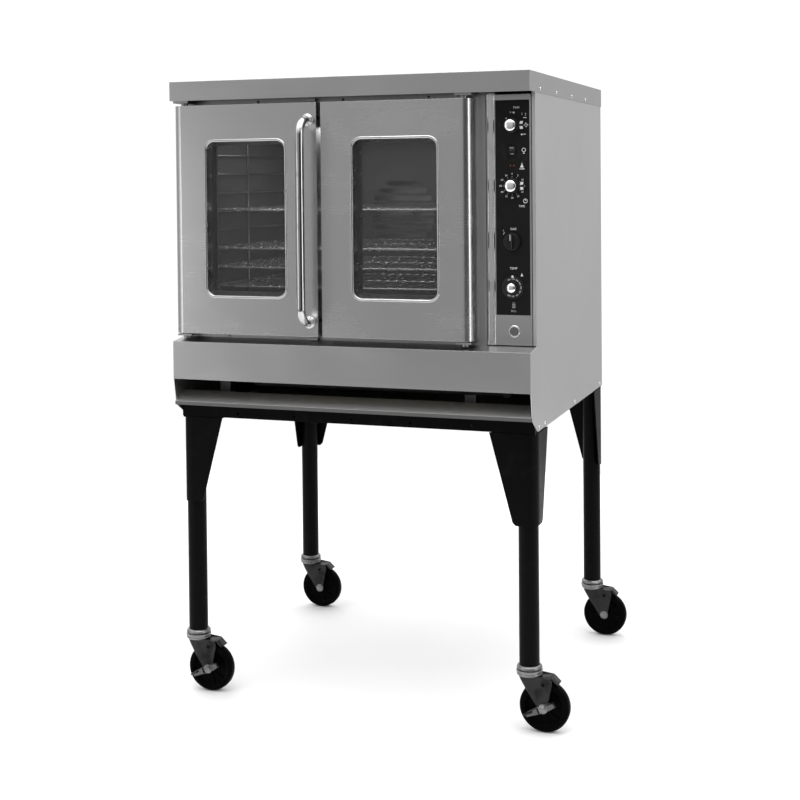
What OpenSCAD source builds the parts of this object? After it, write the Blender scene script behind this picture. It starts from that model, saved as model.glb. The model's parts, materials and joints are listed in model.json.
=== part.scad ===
// Single-deck gas convection oven with two windowed doors, on a leg stand with swivel casters.
// Millimetres, +Z up. X runs left to right and Y front to back, as a cook facing the doors sees them.
// The origin is on the floor, at the centre of the footprint of everything, handle and wheels included.
// Inside the modules X = 0 is the body's middle and Y = 0 is the front face of the cap.

/* [Body] */
// Width of the cap and of the lower front panel
body_w = 972; // [966:1:980]
// Depth of the cap, front to back
body_d = 873; // [865:1:940]
// Height of the body, from the underside of the side panels to the top of the cap
body_h = 886; // [880:1:900]
// Height of the cap's rim
cap_h = 50; // [44:1:54]
// How far the cap stands in front of the body's front face
cap_overhang = 60; // [58:1:64]
// Thickness of the stainless sheet
sheet = 1.5; // [1:0.1:2]

/* [Doors] */
// Width of the left door, which carries the handle
left_door_w = 410; // [404:1:412]
// Width of the right door
right_door_w = 396; // [392:1:398]
// Height of both doors
door_h = 597; // [590:1:600]
// Thickness of both doors, which is also the diameter of their rounded hinge edges
door_t = 50; // [48:1:52]
// Gap between the two doors
door_gap = 12; // [10:1:14]
// Width of each window
window_w = 224; // [200:1:240]
// Height of each window
window_h = 402; // [380:1:420]
// Corner radius of the windows
window_r = 24; // [15:1:30]
// Outer diameter of the handle tube
handle_d = 22; // [18:1:25]
// Distance from the door's face to the middle of the handle tube
handle_reach = 52; // [48:1:60]
// Distance between the handle's two feet
handle_feet = 516; // [460:1:530]

/* [Oven cavity] */
// Inside width of the cavity
cavity_w = 738; // [730:1:740]
// Inside height of the cavity
cavity_h = 510; // [500:1:512]
// Usable depth of the cavity, from the front frame to the fan baffle
cavity_d = 578; // [560:1:585]
// Spacing of the rack levels
rack_pitch = 50.8; // [45:0.1:51]
// Diameter of the blower wheel
blower_d = 300; // [260:1:340]

/* [Controls] */
// Width of the upright control plate
control_w = 92; // [90:1:93]
// Height of the bright plate
control_h = 618; // [600:1:620]
// Height of the black overlay
overlay_h = 529; // [520:1:530]
// Diameter of the selector and timer knobs
knob_d = 34; // [30:1:38]

/* [Stand and casters] */
// Height of the stand, from the floor to the underside of the oven's side panels
stand_h = 740; // [720:1:770]
// Outer diameter of the leg tubes
tube_d = 50.8; // [48:0.1:52]
// Height of the corner brackets
bracket_h = 229; // [200:1:260]
// Width of a corner bracket at its top
bracket_w = 120; // [110:1:130]
// Width of a corner bracket at its foot
bracket_foot_w = 62; // [58:1:70]
// Height of a caster, from the floor to the end of the leg tube
caster_h = 164; // [160:1:170]
// Diameter of a caster wheel
wheel_d = 127; // [120:1:128]
// Width of a caster wheel's tread
wheel_w = 32; // [28:1:33]
// Distance from a caster's swivel axis to its axle
caster_trail = 39; // [36:1:41]

/* [Hidden] */
$fn = 64;

half_w = body_w / 2;
top_z = stand_h + body_h;
cap_z = top_z - cap_h;
front_y = cap_overhang;                 // front face of the body, behind the doors
frame_y = front_y + 2;                  // back of the 2 mm front frame
back_y = body_d - sheet;                // outer face of the back panel
side_in = half_w - 2 * sheet;           // inner face of a side panel
side_out = half_w - sheet;              // outer face of a side panel, inside the cap's rim
eps = 0.5;                              // extra length of a cutting tool

// lower front, where the ears of the side panels reach forward under the doors
ear_top = stand_h + 204;
ear_low = stand_h + 105;
ear_rise = 8;                           // the ear's top edge climbs this much on its way back
lip_z = stand_h + 36;
lip_h = 10;

// doors: the hinge axes run through the centres of the rounded edges
door_z = stand_h + 226;
door_front = 5;
door_back = door_front + door_t;
door_r = door_t / 2;
left_door_x = -482;
right_door_x = left_door_x + left_door_w + door_gap + right_door_w;
hinge_y = door_front + door_r;
left_hinge_x = left_door_x + door_r;
right_hinge_x = right_door_x - door_r;
pin_r = 6;
pin_bore_r = 6.05;
pin_depth = 22;
boss_r = 11;
window_z = door_z + 100;
left_window_x = 98;                     // from the hinge edge of the left door to its window
right_window_x = 87;                    // from the hinge edge of the right door to its window
bead = 6;
bead_h = 3;
lip_in = 28;                            // the shell folds over the back this far from the hinge edge
lip_free = 8;                           // and this far on its other edges
handle_x = left_door_x + left_door_w - 24;
handle_z = door_z + 37;
handle_bend = 42;

// cavity
cavity_x = -433;
cavity_z = stand_h + 270;
cavity_back = frame_y + cavity_d + 75;
cavity_mid_x = cavity_x + cavity_w / 2;
cavity_mid_z = cavity_z + cavity_h / 2;
wool = 38;
rack_z0 = cavity_z + 23.5;
rack_levels = [1, 2, 3, 5];
guide_t = 11.5;                         // from a side wall to the middle of a rack's side rod
rack_play = 25;                         // free travel of a rack with the doors shut
baffle_y = frame_y + cavity_d;
blower_y = baffle_y + 14;
blower_t = 46;
shaft_r = 6.3;
shaft_bore_r = 6.36;
motor_y = cavity_back + sheet + wool + 3;
motor_t = 92;
motor_r = 82;

// controls
plate_x = 382;
plate_z = stand_h + 214;
overlay_x = plate_x + 1.5;
overlay_z = stand_h + 289;
overlay_w = 86;
overlay_t = 0.8;
dial_x = 425.5;
fan_z = stand_h + 756;
rocker_z = stand_h + 693;
lamp_z = stand_h + 657;
timer_z = stand_h + 607;
gas_z = stand_h + 470;
thermo_z = stand_h + 357;
grille_x = dial_x + 3;
grille_z = stand_h + 249;
knob_gap = 0.8;
knob_shaft_r = 3;
knob_hole_r = 5;
rocker_w = 15;
rocker_h = 24;
rocker_t = 9;

// stand
web = 3;
bracket_out = side_out + 1.5;
bracket_front = 44;
leg_x = bracket_out - web - tube_d / 2;
leg_front = bracket_front + web + tube_d / 2;
leg_rear = back_y - 3 - web - tube_d / 2;
legs = [
    [-leg_x, leg_front, 1, 1], [leg_x, leg_front, -1, 1],
    [-leg_x, leg_rear, 1, -1], [leg_x, leg_rear, -1, -1]
];
frame_h = 34;
frame_flange = 42;

// casters
wheel_r = wheel_d / 2;
axle_r = 5;
axle_bore_r = 5.05;
kingpin_r = 7;
kingpin_bore_r = 7.06;
fork_in = wheel_w / 2 + 3.5;
fork_t = 3;
swivel_gap = 0.4;
race_r = 33;
race_z = caster_h - 11;
fork_ring_h = 12;
nut_h = 5;
bridge_z = wheel_r + 71;                // underside of a fork's bridge over the wheel
lever_t = 3;

// services at the back
gas_x = 400;
gas_pipe_z = stand_h + 90;
gas_pipe_r = 13.35;
gas_stub = 28;
flue_x = cavity_mid_x;
flue_w = 200;
flue_h = 44;
flue_z = top_z - 116;
gland_x = -380;
gland_z = stand_h + 90;

// the origin sits under the middle of the whole footprint
reach_front = door_front - handle_reach - handle_d / 2;
reach_back = body_d + gas_stub;
reach_right = leg_x + caster_trail + wheel_r;
origin_x = (reach_right - bracket_out) / 2;
origin_y = (reach_front + reach_back) / 2;

// ---------- helpers ----------

module placed() translate([-origin_x, -origin_y, 0]) children();

// a block between two opposite corners
module block(low, high) translate(low) cube(high - low);

// a flat outline given in Y and Z, extruded from x0 to x1
module yz_plate(x0, x1, outline)
    translate([x0, 0, 0]) rotate([90, 0, 90]) linear_extrude(x1 - x0) polygon(outline);

// a flat outline given in X and Z, extruded from y0 to y1
module xz_plate(y0, y1) translate([0, y1, 0]) rotate([90, 0, 0]) linear_extrude(y1 - y0) children();

module rod_x(x0, x1, y, z, r) translate([x0, y, z]) rotate([0, 90, 0]) cylinder(h = x1 - x0, r = r);
module rod_y(x, y0, y1, z, r) translate([x, y0, z]) rotate([-90, 0, 0]) cylinder(h = y1 - y0, r = r);
module rod_z(x, y, z0, z1, r) translate([x, y, z0]) cylinder(h = z1 - z0, r = r);

// a rectangle with round corners, its lower left corner at the origin
module rounded(w, h, r) {
    translate([r, 0]) square([w - 2 * r, h]);
    translate([0, r]) square([w, h - 2 * r]);
    for (x = [r, w - r], z = [r, h - r]) translate([x, z]) circle(r);
}

// a pan-head screw whose head sits on a face that looks along -Y or +X
module screw_front(x, y, z) {
    rod_y(x, y - 1.6, y, z, 4);
    rod_y(x, y - 2.4, y - 1.6, z, 2.6);
}
module screw_side(x, y, z) {
    rod_x(x, x + 1.2, y, z, 4.2);
    rod_x(x + 1.2, x + 1.8, y, z, 2.6);
}

// ---------- body shell ----------

module top_cap() {
    color("silver") placed() {
        difference() {
            block([-half_w, 0, cap_z], [half_w, body_d, top_z]);
            block([-side_out, sheet, cap_z - eps], [side_out, back_y, top_z - sheet]);
        }
        // return fold along the underside of the front rim
        block([-side_out, sheet, cap_z], [side_out, 18, cap_z + sheet]);
    }
}

function side_outline() = [
    [0, ear_top], [0, ear_low], [12, lip_z], [66, stand_h + 2], [back_y - sheet, stand_h + 2],
    [back_y - sheet, top_z - 4], [front_y, top_z - 4], [front_y, ear_top + ear_rise]
];

// one side panel with its ear and its front return, drawn on the +X side
module side_panel() {
    yz_plate(side_in, side_out, side_outline());
    block([side_in - 7, front_y, ear_top + ear_rise + 2], [side_in, front_y + sheet, top_z - 4]);
}

module left_side_panel() color("silver") placed() mirror([1, 0, 0]) side_panel();
module right_side_panel() color("silver") placed() side_panel();

module back_panel() {
    louvre_w = 90;
    louvre_pitch = 24;
    color("darkgray") placed() difference() {
        block([-side_in, back_y - sheet, stand_h + 6], [side_in, back_y, top_z - 4]);
        rod_y(gas_x, back_y - 5, back_y + 5, gas_pipe_z, gas_pipe_r + 2);
        rod_y(gland_x, back_y - 5, back_y + 5, gland_z, 11);
        block([flue_x - flue_w / 2, back_y - 5, flue_z],
            [flue_x + flue_w / 2, back_y + 5, flue_z + flue_h]);
        // two stacks of cooling louvres for the motor and the controls
        for (x = [cavity_mid_x - louvre_w / 2, 360], k = [0 : 7]) {
            z = stand_h + 200 + louvre_pitch * k;
            block([x, back_y - 5, z], [x + louvre_w, back_y + 5, z + 6]);
        }
    }
}

module base_pan() {
    color("dimgray") placed() block([-side_in + 4, bracket_front + 5, stand_h + web],
        [side_in - 4, back_y - 8, stand_h + web + 2]);
}

module front_frame() {
    color("gray") placed() {
        difference() {
            block([-side_in + 7.5, front_y, stand_h + 140], [plate_x - 23, frame_y, top_z - 4]);
            block([cavity_x, front_y - eps, cavity_z],
                [cavity_x + cavity_w, frame_y + eps, cavity_z + cavity_h]);
        }
        // posts that carry the insulated cavity on the base pan
        for (x = [-side_in + 60, plate_x - 110])
            block([x, 150, stand_h + web + 2], [x + 30, 180, cavity_z - sheet - wool]);
    }
}

module lower_front_panel() {
    outline = [
        [0, ear_low], [0, ear_top], [front_y - 0.5, ear_top + ear_rise],
        [front_y - 0.5, ear_top + ear_rise - sheet], [sheet, ear_top - 1.4], [sheet, ear_low + sheet],
        [20, ear_low + sheet], [20, ear_low]
    ];
    color("silver") placed() yz_plate(-side_in, side_in, outline);
}

module air_intake_lip() {
    // a folded channel on the stand's frame; its top slopes up to the open slot behind the panel
    back = front_y - 2;
    slope_h = 22;
    outline = [
        [5, lip_z], [5, lip_z + lip_h],
        [back, lip_z + lip_h + slope_h], [back, lip_z + lip_h + slope_h - sheet],
        [5 + sheet, lip_z + lip_h - 1], [5 + sheet, lip_z + sheet],
        [back - 10, lip_z + sheet], [back - 10, lip_z]
    ];
    color("silver") placed() yz_plate(-side_in, side_in, outline);
}

// ---------- controls ----------

module knob_holes(extra) {
    for (z = [fan_z, timer_z, gas_z, thermo_z])
        rod_y(dial_x, front_y - 3, frame_y + 1, z, knob_hole_r + extra);
    block([dial_x - rocker_w / 2 - 1, front_y - 3, rocker_z - rocker_h / 2 - 1],
        [dial_x + rocker_w / 2 + 1, frame_y + 1, rocker_z + rocker_h / 2 + 1]);
    for (x = [dial_x - 4, dial_x + 5]) rod_y(x, front_y - 3, frame_y + 1, lamp_z, 1.6);
}

module control_plate() {
    color("silver") placed() difference() {
        union() {
            block([plate_x, front_y, plate_z], [plate_x + control_w, frame_y, plate_z + control_h]);
            block([plate_x + control_w - 2, frame_y, plate_z],
                [plate_x + control_w, frame_y + 22, plate_z + control_h]);
        }
        knob_holes(0);
        rod_y(grille_x, front_y - 1, frame_y + 1, grille_z, 13);
    }
}

module control_overlay() {
    half_opening = rocker_w / 2 + 3.2;
    color("black") placed() {
        difference() {
            block([overlay_x, front_y - overlay_t, overlay_z],
                [overlay_x + overlay_w, front_y, overlay_z + overlay_h]);
            knob_holes(0);
        }
        // bezel of the rocker switch
        difference() {
            block([dial_x - half_opening, front_y - 2.4, rocker_z - half_opening - 4.5],
                [dial_x + half_opening, front_y - overlay_t, rocker_z + half_opening + 4.5]);
            knob_holes(0);
        }
    }
}

module control_post() {
    // a folded upright with two rounded edges, between the right door and the control plate
    color("silver") placed() {
        block([plate_x - 22, front_y, plate_z], [plate_x, frame_y, cap_z + 30]);
        for (x = [plate_x - 19, plate_x - 4])
            rod_z(x, front_y, plate_z, cap_z - 4, 3);
    }
}

module buzzer_grille() {
    hole_pitch = 4.4;
    color("dimgray") placed() difference() {
        union() {
            rod_y(grille_x, front_y - 2.5, front_y, grille_z, 15);
            rod_y(grille_x, front_y, frame_y + 14, grille_z, 12.9);
        }
        for (i = [-2 : 2], j = [-2 : 2]) if (i * i + j * j < 7)
            rod_y(grille_x + i * hole_pitch, front_y - 3, front_y + 3, grille_z + j * hole_pitch, 1.4);
    }
}

module indicator_lamps() {
    color("orange") placed() for (x = [dial_x - 4, dial_x + 5]) {
        rod_y(x, front_y - 1.6, frame_y + 12, lamp_z, 1.55);
    }
}

// a turned knob: a skirt, a grip and a shaft that reaches through the plate
module knob(z, skirt_r, grip_r, grip_len) {
    y = front_y - overlay_t - knob_gap;
    rod_y(dial_x, y - 4, y, z, skirt_r);
    rod_y(dial_x, y - 4 - grip_len, y - 4, z, grip_r);
    rod_y(dial_x, y, frame_y + 16, z, knob_shaft_r);
}

module fan_knob() color("dimgray") placed() knob(fan_z, knob_d / 2 + 1, knob_d / 2 - 1, 15);
module timer_knob() color("dimgray") placed() knob(timer_z, knob_d / 2 + 1, knob_d / 2 - 1, 15);
module thermostat_knob() color("dimgray") placed() knob(thermo_z, 27, 14, 15);

module gas_knob() {
    y = front_y - overlay_t - knob_gap;
    color("black") placed() {
        knob(gas_z, 22, 20, 6);
        // the upright finger grip
        block([dial_x - 4, y - 24, gas_z - 19], [dial_x + 4, y - 10, gas_z + 19]);
    }
}

module rocker_switch() {
    // two flat faces that meet in the middle, with a pivot through the body
    outline = [
        [front_y + 8, rocker_z - 11], [front_y - 1, rocker_z - rocker_h / 2 + 0.6], [front_y, rocker_z],
        [front_y - 4.5, rocker_z + rocker_h / 2 - 0.6], [front_y + 8, rocker_z + 11]
    ];
    color("black") placed() {
        yz_plate(dial_x - rocker_w / 2, dial_x + rocker_w / 2, outline);
        rod_x(dial_x - rocker_w / 2 - 0.6, dial_x + rocker_w / 2 + 0.6, front_y + 5, rocker_z, 1.5);
    }
}

// ---------- oven cavity ----------

module cavity_liner() {
    x1 = cavity_x + cavity_w;
    z1 = cavity_z + cavity_h;
    color("slategray") placed() difference() {
        block([cavity_x - sheet, frame_y, cavity_z - sheet], [x1 + sheet, cavity_back + sheet, z1 + sheet]);
        block([cavity_x, frame_y - eps, cavity_z], [x1, cavity_back, z1]);
        rod_y(cavity_mid_x, cavity_back - 5, cavity_back + 5, cavity_mid_z, 15);
        block([flue_x - flue_w / 2, cavity_back - 5, flue_z],
            [flue_x + flue_w / 2, cavity_back + 5, flue_z + 20]);
    }
}

module insulation_wrap() {
    x0 = cavity_x - sheet;
    x1 = cavity_x + cavity_w + sheet;
    z0 = cavity_z - sheet;
    z1 = cavity_z + cavity_h + sheet;
    y1 = cavity_back + sheet;
    color("khaki") placed() difference() {
        block([x0 - wool, frame_y + 32, z0 - wool], [x1 + wool, y1 + wool, z1 + wool]);
        block([x0, frame_y + 32 - eps, z0], [x1, y1, z1]);
        rod_y(cavity_mid_x, y1 - 5, y1 + wool + 5, cavity_mid_z, 15);
        block([flue_x - flue_w / 2 - 2, y1 - 5, flue_z - 2],
            [flue_x + flue_w / 2 + 2, y1 + wool + 5, z1 + wool + 5]);
    }
}

module rack_guides() {
    // one welded wire ladder on each side wall: uprights that carry a rung under each rack level
    upright_r = 3;
    rung_r = 2.5;
    y0 = frame_y + 25;
    y1 = baffle_y - 30;
    color("silver") placed() for (side = [0, 1]) {
        x = side == 0 ? cavity_x + 4 : cavity_x + cavity_w - 4;
        rung_x = side == 0 ? x + 5 : x - 5;
        for (y = [y0 + 8, (y0 + y1) / 2, y1 - 8]) rod_z(x, y, cavity_z, cavity_z + cavity_h, upright_r);
        for (k = [0 : 9]) rod_y(rung_x, y0, y1, rack_z0 + k * rack_pitch - 6, rung_r);
    }
}

// a chromed wire rack that rests on the rungs of one level
module rack(level) {
    z = rack_z0 + level * rack_pitch;
    x0 = cavity_x + guide_t;
    x1 = cavity_x + cavity_w - guide_t;
    y0 = frame_y + rack_play + 4;
    y1 = baffle_y - 32;
    wires = 27;
    side_r = 3;
    cross_r = 2.6;
    wire_r = 1.6;
    color("lightgray") placed() {
        for (y = [y0, (y0 + y1) / 2, y1]) rod_x(x0, x1, y, z, cross_r);
        for (x = [x0, x1]) rod_y(x, y0 - 4, y1 + 4, z, side_r);
        for (i = [1 : wires])
            rod_y(x0 + (x1 - x0) * i / (wires + 1), y0 - 2, y1 + 2, z + cross_r + 0.6, wire_r);
    }
}
module rack_1() rack(rack_levels[0]);
module rack_2() rack(rack_levels[1]);
module rack_3() rack(rack_levels[2]);
module rack_4() rack(rack_levels[3]);

module fan_baffle() {
    field_r = 100;
    slot_pitch = 22;
    color("slategray") placed() {
        difference() {
            block([cavity_x + 30, baffle_y, cavity_z + 2],
                [cavity_x + cavity_w - 30, baffle_y + sheet, cavity_z + cavity_h - 2]);
            // round field of slots in front of the blower's eye
            for (i = [-4 : 4]) {
                half = sqrt(pow(field_r, 2) - pow(i * slot_pitch, 2));
                z = cavity_mid_z + i * slot_pitch;
                block([cavity_mid_x - half, baffle_y - eps, z - 7],
                    [cavity_mid_x + half, baffle_y + sheet + eps, z + 7]);
            }
        }
        // stand-offs to the back wall
        for (x = [cavity_x + 60, cavity_x + cavity_w - 60], z = [cavity_z + 60, cavity_z + cavity_h - 60])
            rod_y(x, baffle_y + sheet, cavity_back, z, 5);
    }
}

module blower_wheel() {
    vanes = 24;
    r = blower_d / 2;
    color("silver") placed() {
        difference() {
            rod_y(cavity_mid_x, blower_y + blower_t - 2, blower_y + blower_t, cavity_mid_z, r);
            rod_y(cavity_mid_x, blower_y, blower_y + blower_t + 1, cavity_mid_z, shaft_r - 1);
        }
        difference() {
            rod_y(cavity_mid_x, blower_y, blower_y + 2, cavity_mid_z, r);
            rod_y(cavity_mid_x, blower_y - 1, blower_y + 3, cavity_mid_z, r - 32);
        }
        translate([cavity_mid_x, 0, cavity_mid_z]) for (i = [0 : vanes - 1]) rotate([0, i * 360 / vanes, 0])
            translate([r - 30, blower_y + 2, -1]) cube([26, blower_t - 4, 2]);
        rod_y(cavity_mid_x, blower_y + blower_t - 26, blower_y + blower_t - 2, cavity_mid_z, 20);
        rod_y(cavity_mid_x, blower_y + blower_t - 26, motor_y + 60, cavity_mid_z, shaft_r);
    }
}

module blower_motor() {
    color("dimgray") placed() difference() {
        union() {
            rod_y(cavity_mid_x, motor_y, motor_y + motor_t, cavity_mid_z, motor_r);
            block([cavity_mid_x - 120, motor_y - 3, cavity_mid_z - 95],
                [cavity_mid_x + 120, motor_y, cavity_mid_z + 95]);
        }
        rod_y(cavity_mid_x, motor_y - 5, motor_y + 62, cavity_mid_z, shaft_bore_r);
    }
}

module burner_tubes() {
    z = stand_h + 110;
    color("dimgray") placed() {
        for (i = [-1 : 1]) difference() {
            rod_y(cavity_mid_x + i * 200, 130, 640, z, 19);
            for (k = [0 : 15]) rod_z(cavity_mid_x + i * 200, 170 + k * 28, z + 5, z + 25, 2.5);
        }
        block([cavity_mid_x - 260, 640, z - 30], [cavity_mid_x + 260, 643, z + 30]);
    }
}

module gas_train() {
    valve_y = frame_y + 18;
    run_y = valve_y + 22;
    manifold_z = gas_pipe_z;
    color("goldenrod") placed() {
        // supply pipe from the back, with an open male end
        difference() {
            union() {
                rod_y(gas_x, run_y - 12, body_d, gas_pipe_z, 12);
                rod_y(gas_x, body_d, reach_back, gas_pipe_z, gas_pipe_r);
            }
            rod_y(gas_x, body_d - 20, reach_back + 1, gas_pipe_z, 9.5);
        }
        // riser to the valve behind the knob
        rod_z(gas_x, run_y, gas_pipe_z, gas_z, 10);
        difference() {
            block([gas_x - 22, valve_y, gas_z - 32], [dial_x + 26, valve_y + 50, gas_z + 32]);
            rod_y(dial_x, valve_y - 1, valve_y + 12, gas_z, knob_hole_r);
        }
        // manifold with one orifice spud at each burner
        rod_x(cavity_mid_x - 230, gas_x, run_y, manifold_z, 10);
        for (i = [-1 : 1]) rod_y(cavity_mid_x + i * 200, run_y, run_y + 22, manifold_z, 6);
    }
}

module flue_duct() {
    y0 = cavity_back + sheet + 0.2;
    y1 = body_d + 22;
    color("silver") placed() difference() {
        block([flue_x - flue_w / 2, y0, flue_z], [flue_x + flue_w / 2, y1, flue_z + flue_h]);
        block([flue_x - flue_w / 2 + sheet, y0 - eps, flue_z + sheet],
            [flue_x + flue_w / 2 - sheet, y1 + eps, flue_z + flue_h - sheet]);
    }
}

module oven_lamps() {
    // two jar lamps in the cavity's ceiling, above the right-hand rack guide
    x = cavity_x + cavity_w - 15;
    z = cavity_z + cavity_h;
    color("white") placed() for (y = [200, 460]) {
        rod_z(x, y, z - 5, z, 14);
        rod_z(x, y, z - 18, z - 5, 11);
    }
}

module cord_gland() {
    color("black") placed() difference() {
        union() {
            rod_y(gland_x, back_y - 8, back_y, gland_z, 10.9);
            rod_y(gland_x, back_y, back_y + 14, gland_z, 14);
        }
        rod_y(gland_x, back_y - 9, back_y + 15, gland_z, 4.5);
    }
}

module door_gasket() {
    w = 9;
    x0 = cavity_x - w - 1;
    x1 = cavity_x + cavity_w + w + 1;
    z0 = cavity_z - w - 1;
    z1 = cavity_z + cavity_h + w + 1;
    color("black") placed() difference() {
        block([x0, door_back + 0.5, z0], [x1, front_y, z1]);
        block([x0 + w, door_back, z0 + w], [x1 - w, front_y + 1, z1 - w]);
    }
}

// ---------- doors ----------

// plan of a door of width w, hinge edge at x = 0, front at y = 0
module door_plan(w, inset) {
    translate([door_r, door_r]) circle(door_r - inset);
    translate([door_r, inset]) square([w - door_r - inset, door_t - 2 * inset]);
}

// outline of a window that starts wx from its door's hinge edge, grown by g on every side
module window_outline(wx, g) {
    translate([wx - g, window_z - door_z - g]) rounded(window_w + 2 * g, window_h + 2 * g, window_r + g);
}

module door_shell(w, wx) {
    difference() {
        linear_extrude(door_h) door_plan(w, 0);
        translate([0, 0, sheet]) linear_extrude(door_h - 2 * sheet) door_plan(w, sheet);
        block([lip_in, door_r, lip_free], [w - lip_free, door_t + 1, door_h - lip_free]);
        xz_plate(-1, door_t + 1) window_outline(wx, 0);
        for (z = [-1, door_h - 10]) translate([door_r, door_r, z]) cylinder(h = 11, r = pin_bore_r);
    }
    // bushes around the hinge pins
    for (z = [sheet, door_h - pin_depth - 3]) difference() {
        translate([door_r, door_r, z]) cylinder(h = pin_depth + 3 - sheet, r = boss_r);
        translate([door_r, door_r, z - 1]) cylinder(h = pin_depth + 5, r = pin_bore_r);
    }
}

module door_liner(w, wx) {
    difference() {
        block([lip_in, door_t - sheet, lip_free], [w - lip_free, door_t, door_h - lip_free]);
        xz_plate(-1, door_t + 1) window_outline(wx, 0);
    }
}

module door_glass(wx) {
    gap = sheet + 0.4;
    for (y = [9, door_t - 12]) xz_plate(y, y + 4) window_outline(wx, -gap);
}

module window_trim(wx) {
    // raised bead on the door's face
    xz_plate(-bead_h, 0) difference() {
        window_outline(wx, bead);
        window_outline(wx, -sheet);
    }
    // tunnel through the door
    xz_plate(0, door_t) difference() {
        window_outline(wx, -0.1);
        window_outline(wx, -sheet);
    }
    // narrow ledge that the inner pane rests against
    xz_plate(door_t - 7, door_t) difference() {
        window_outline(wx, -sheet);
        window_outline(wx, -9);
    }
}

module on_left_door() placed() translate([left_door_x, door_front, door_z]) children();
module on_right_door() placed() translate([right_door_x, door_front, door_z]) mirror([1, 0, 0]) children();

module left_door_shell() color("silver") on_left_door() door_shell(left_door_w, left_window_x);
module left_door_liner() color("gray") on_left_door() door_liner(left_door_w, left_window_x);
module left_door_glass() color("gray", 0.4) on_left_door() door_glass(left_window_x);
module left_window_trim() color("white") on_left_door() window_trim(left_window_x);
module right_door_shell() color("silver") on_right_door() door_shell(right_door_w, right_window_x);
module right_door_liner() color("gray") on_right_door() door_liner(right_door_w, right_window_x);
module right_door_glass() color("gray", 0.4) on_right_door() door_glass(right_window_x);
module right_window_trim() color("white") on_right_door() window_trim(right_window_x);

module door_handle() {
    r = handle_d / 2;
    grip_y = door_front - handle_reach;
    low = handle_z;
    high = handle_z + handle_feet;
    color("white") placed() {
        rod_z(handle_x, grip_y, low + handle_bend, high - handle_bend, r);
        for (end = [0, 1]) {
            z = end == 0 ? low : high;
            turn = end == 0 ? 1 : -1;
            // a quarter bend that brings the tube back to the door
            translate([handle_x, grip_y + handle_bend, z + turn * handle_bend]) rotate([0, 0, 180])
                mirror([0, 0, end]) rotate([0, 90, 0]) rotate_extrude(angle = 90)
                translate([handle_bend, 0]) circle(r);
            rod_y(handle_x, grip_y + handle_bend, door_front, z, r);
            rod_y(handle_x, door_front - 3, door_front, z, r + 5);
        }
    }
}

module door_hardware() {
    // a bracket with a pin above and below each door, and a catch above and below their meeting edges
    color("silver") placed() {
        for (x = [left_hinge_x, right_hinge_x]) {
            side = x == left_hinge_x ? -1 : 1;
            block([x + min(side * door_r, -side * 18), 12, cap_z - 6],
                [x + max(side * door_r, -side * 18), front_y, cap_z]);
            rod_z(x, hinge_y, door_z + door_h - pin_depth, cap_z - 6, pin_r);
            rod_z(x, hinge_y, door_z + door_h + 0.5, cap_z - 6, pin_r + 3);
            block([x - 20, 14, door_z - 8], [x + 20, front_y, door_z - 3]);
            rod_z(x, hinge_y, door_z - 3, door_z + pin_depth, pin_r);
            rod_z(x, hinge_y, ear_top + 7, door_z - 8, pin_r + 3);
        }
        catch_x = left_door_x + left_door_w - 30;
        for (z = [cap_z - 8, door_z - 14])
            block([catch_x - 11, front_y - 14, z], [catch_x + 11, front_y, z + 7]);
    }
}

module panel_screws() {
    color("white") placed() {
        for (x = [-257, -19, 211]) screw_front(x, front_y, cap_z - 6);
        for (x = [-348, 223]) screw_front(x, front_y, door_z - 8);
        for (side = [0, 1]) mirror([side, 0, 0]) {
            for (k = [0 : 3]) screw_side(half_w, 108 + k * 180, cap_z + 10);
            for (y = [80, 142, 491, 838]) screw_side(side_out, y, stand_h + 12);
        }
    }
}

// ---------- stand ----------

module stand_frame() {
    y0 = bracket_front + 1;
    y1 = back_y - sheet - 1;
    x = side_in - 0.5;
    z = stand_h;
    color("black") placed() difference() {
        block([-x, y0, z], [x, y1, z + frame_h]);
        block([-x + web, y0 + web, z + web], [x - web, y1 - web, z + frame_h + 1]);
        block([-x + frame_flange, y0 + frame_flange, z - 1],
            [x - frame_flange, y1 - frame_flange, z + frame_h]);
        // bolt holes along the front web
        for (i = [-2 : 2]) rod_y(i * 160, y0 - 1, y0 + web + 1, z + 12, 3.5);
    }
}

// one folded corner bracket, drawn for the front left leg with the leg's axis at the origin
module leg_bracket() {
    out = tube_d / 2 + web;
    h = bracket_h - 1;
    translate([0, 0, -1]) {
        // rounded corner that wraps the tube
        translate([0, 0, -h]) difference() {
            cylinder(h = h, r = out);
            translate([0, 0, -1]) cylinder(h = h + 2, r = out - web);
            translate([0, -out - 1, -1]) cube([out + 2, 2 * out + 2, h + 2]);
            translate([-out - 1, 0, -1]) cube([2 * out + 2, out + 2, h + 2]);
        }
        // the second flange is the first one mirrored across the corner's diagonal
        foot = bracket_foot_w - out;
        flange = [[0, 0], [0, -h], [foot - 8, -h], [foot, -h + 8], [bracket_w - out, 0]];
        for (turn = [0, 1]) mirror([turn, -turn, 0])
            translate([0, -out + web, 0]) rotate([90, 0, 0]) linear_extrude(web) polygon(flange);
        // top flange, bolted up under the stand's frame
        translate([-out + 4, -out + 4, -web]) cube([bracket_w - 8, bracket_w - 8, web - 0.01]);
    }
}

module leg_brackets() {
    color("black") placed() for (leg = legs)
        translate([leg[0], leg[1], stand_h]) scale([leg[2], leg[3], 1]) leg_bracket();
}

module leg_tubes() {
    color("black") placed() for (leg = legs) difference() {
        rod_z(leg[0], leg[1], caster_h, stand_h - 5, tube_d / 2 - 0.2);
        rod_z(leg[0], leg[1], caster_h - 1, stand_h - 8, tube_d / 2 - 2.2);
    }
}

// ---------- casters ----------

module at_leg(i) placed() translate([legs[i][0], legs[i][1], 0]) children();

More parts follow.
